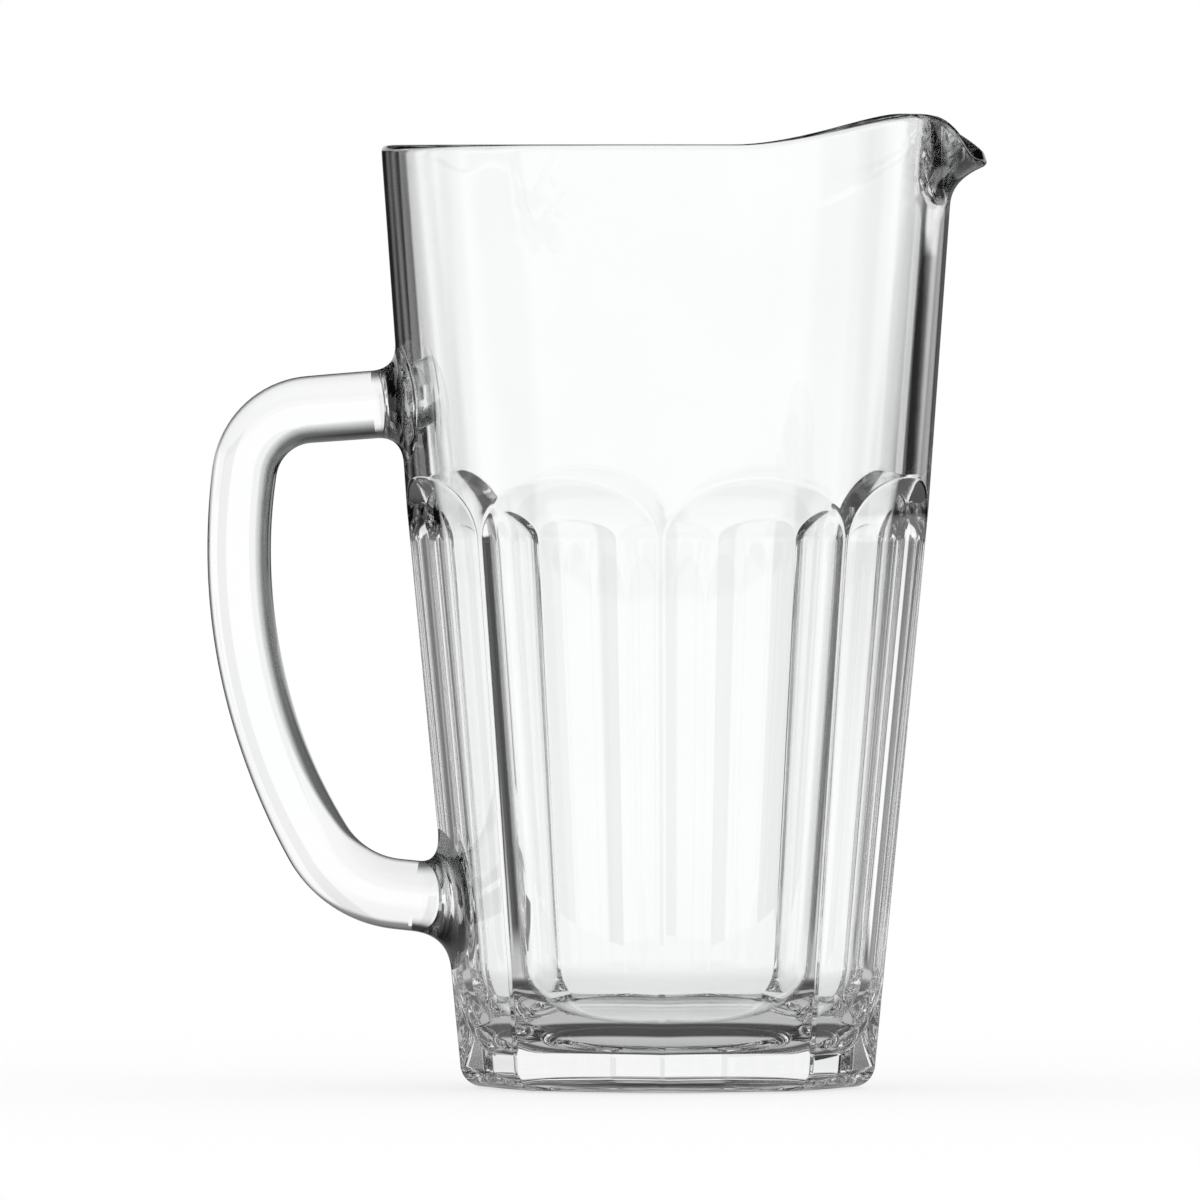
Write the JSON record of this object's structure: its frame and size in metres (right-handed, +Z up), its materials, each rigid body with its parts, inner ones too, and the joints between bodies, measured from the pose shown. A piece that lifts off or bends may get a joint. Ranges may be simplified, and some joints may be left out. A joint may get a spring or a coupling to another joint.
{
  "type": "glass pitcher",
  "caption": "Clear pressed-glass serving pitcher: round tapered vessel with flat-panelled lower wall, thick base, pinched pouring lip and bowed glass bar handle welded on by flared collars.",
  "frame": {"origin": "middle of the flat underside, on the vessel's axis, at the level it stands on", "axes": "+Z up along the vessel's axis, +X towards the pouring lip, the handle at -X"},
  "size_m": [0.1874, 0.1374, 0.2337],
  "materials": {
    "body_glass": "clear soda-lime glass, pressed and fire-polished",
    "handle_glass": "clear soda-lime glass, drawn smooth",
    "weld_glass": "clear soda-lime glass, flowed on hot with a soft ring where it met the wall"
  },
  "bodies": {
    "root": {"pitcher_body": "body_glass", "upper_handle_collar": "weld_glass", "lower_handle_collar": "weld_glass", "handle": "handle_glass"}
  },
  "joints": []
}
